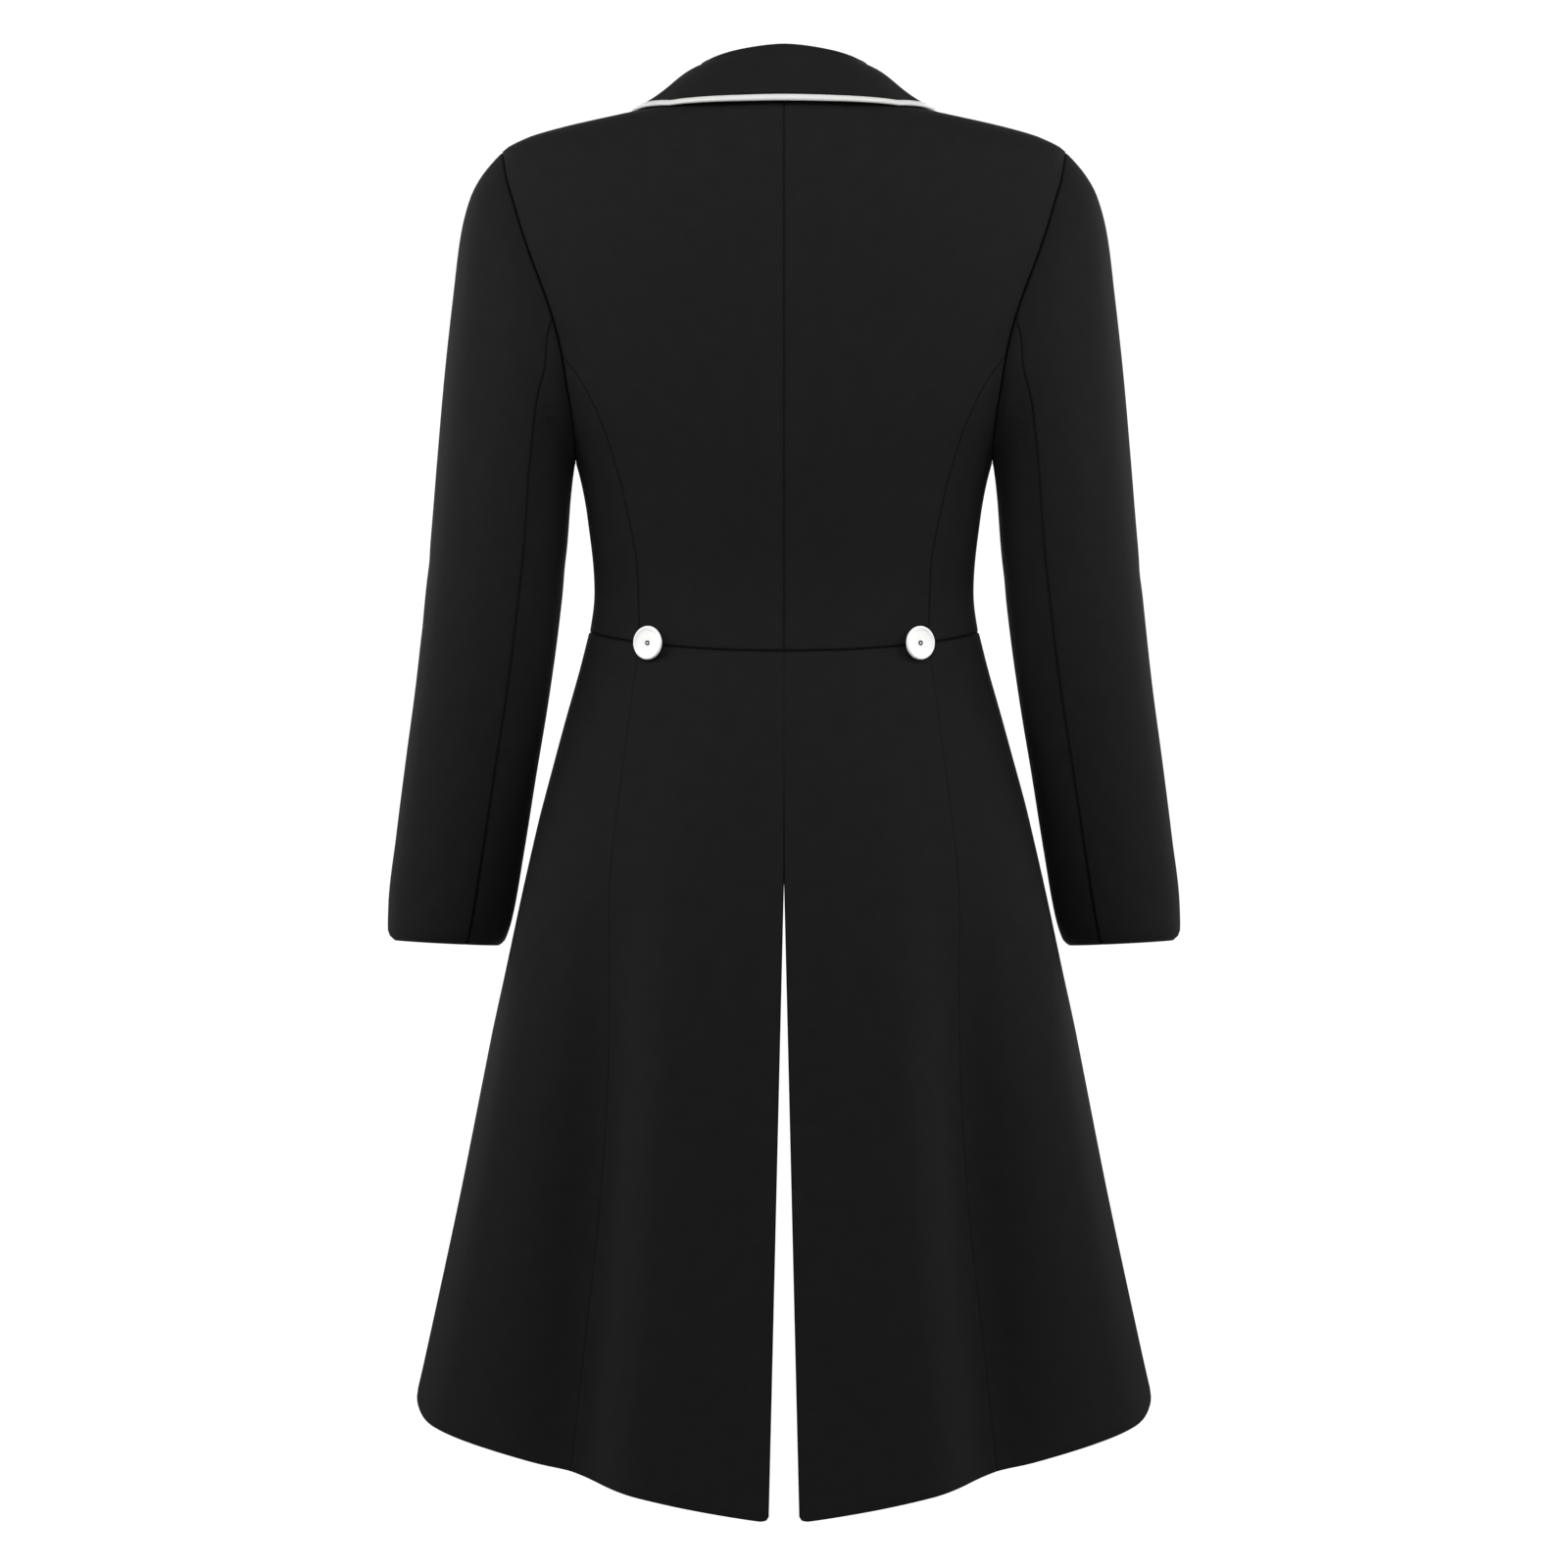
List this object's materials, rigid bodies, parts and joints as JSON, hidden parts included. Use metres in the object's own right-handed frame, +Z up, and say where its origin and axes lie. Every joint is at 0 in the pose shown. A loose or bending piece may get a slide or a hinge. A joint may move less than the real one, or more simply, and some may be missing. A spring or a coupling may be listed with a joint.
{
  "type": "dressage tailcoat",
  "caption": "Fitted black riding tailcoat in worn form: turned-down collar with white piping, long sleeves, lapped buttoned front, waist seam with white buttons and long vented tails.",
  "frame": {"origin": "midway between the two shoulders, at the height of the shoulder line, where the wearer holds the jacket up", "axes": "+Z up, the front faces -Y and the back +Y, the wearer's left is +X"},
  "size_m": [0.5846, 0.3051, 1.0665],
  "materials": {
    "cloth": "matte black woven cloth",
    "piping": "white satin cord",
    "button": "white, softly polished"
  },
  "bodies": {
    "root": {"back_left": "cloth", "back_right": "cloth", "side_left": "cloth", "side_right": "cloth", "front_left": "cloth", "front_right": "cloth", "tail_back_left": "cloth", "tail_back_right": "cloth", "tail_side_left": "cloth", "tail_side_right": "cloth", "sleeve_top_left": "cloth", "sleeve_top_right": "cloth", "sleeve_under_left": "cloth", "sleeve_under_right": "cloth", "lapel_left": "cloth", "lapel_right": "cloth", "collar": "cloth", "collar_piping": "piping", "button_back_left": "button", "button_back_right": "button", "button_front_1": "button", "button_front_2": "button", "button_front_3": "button"}
  },
  "joints": []
}
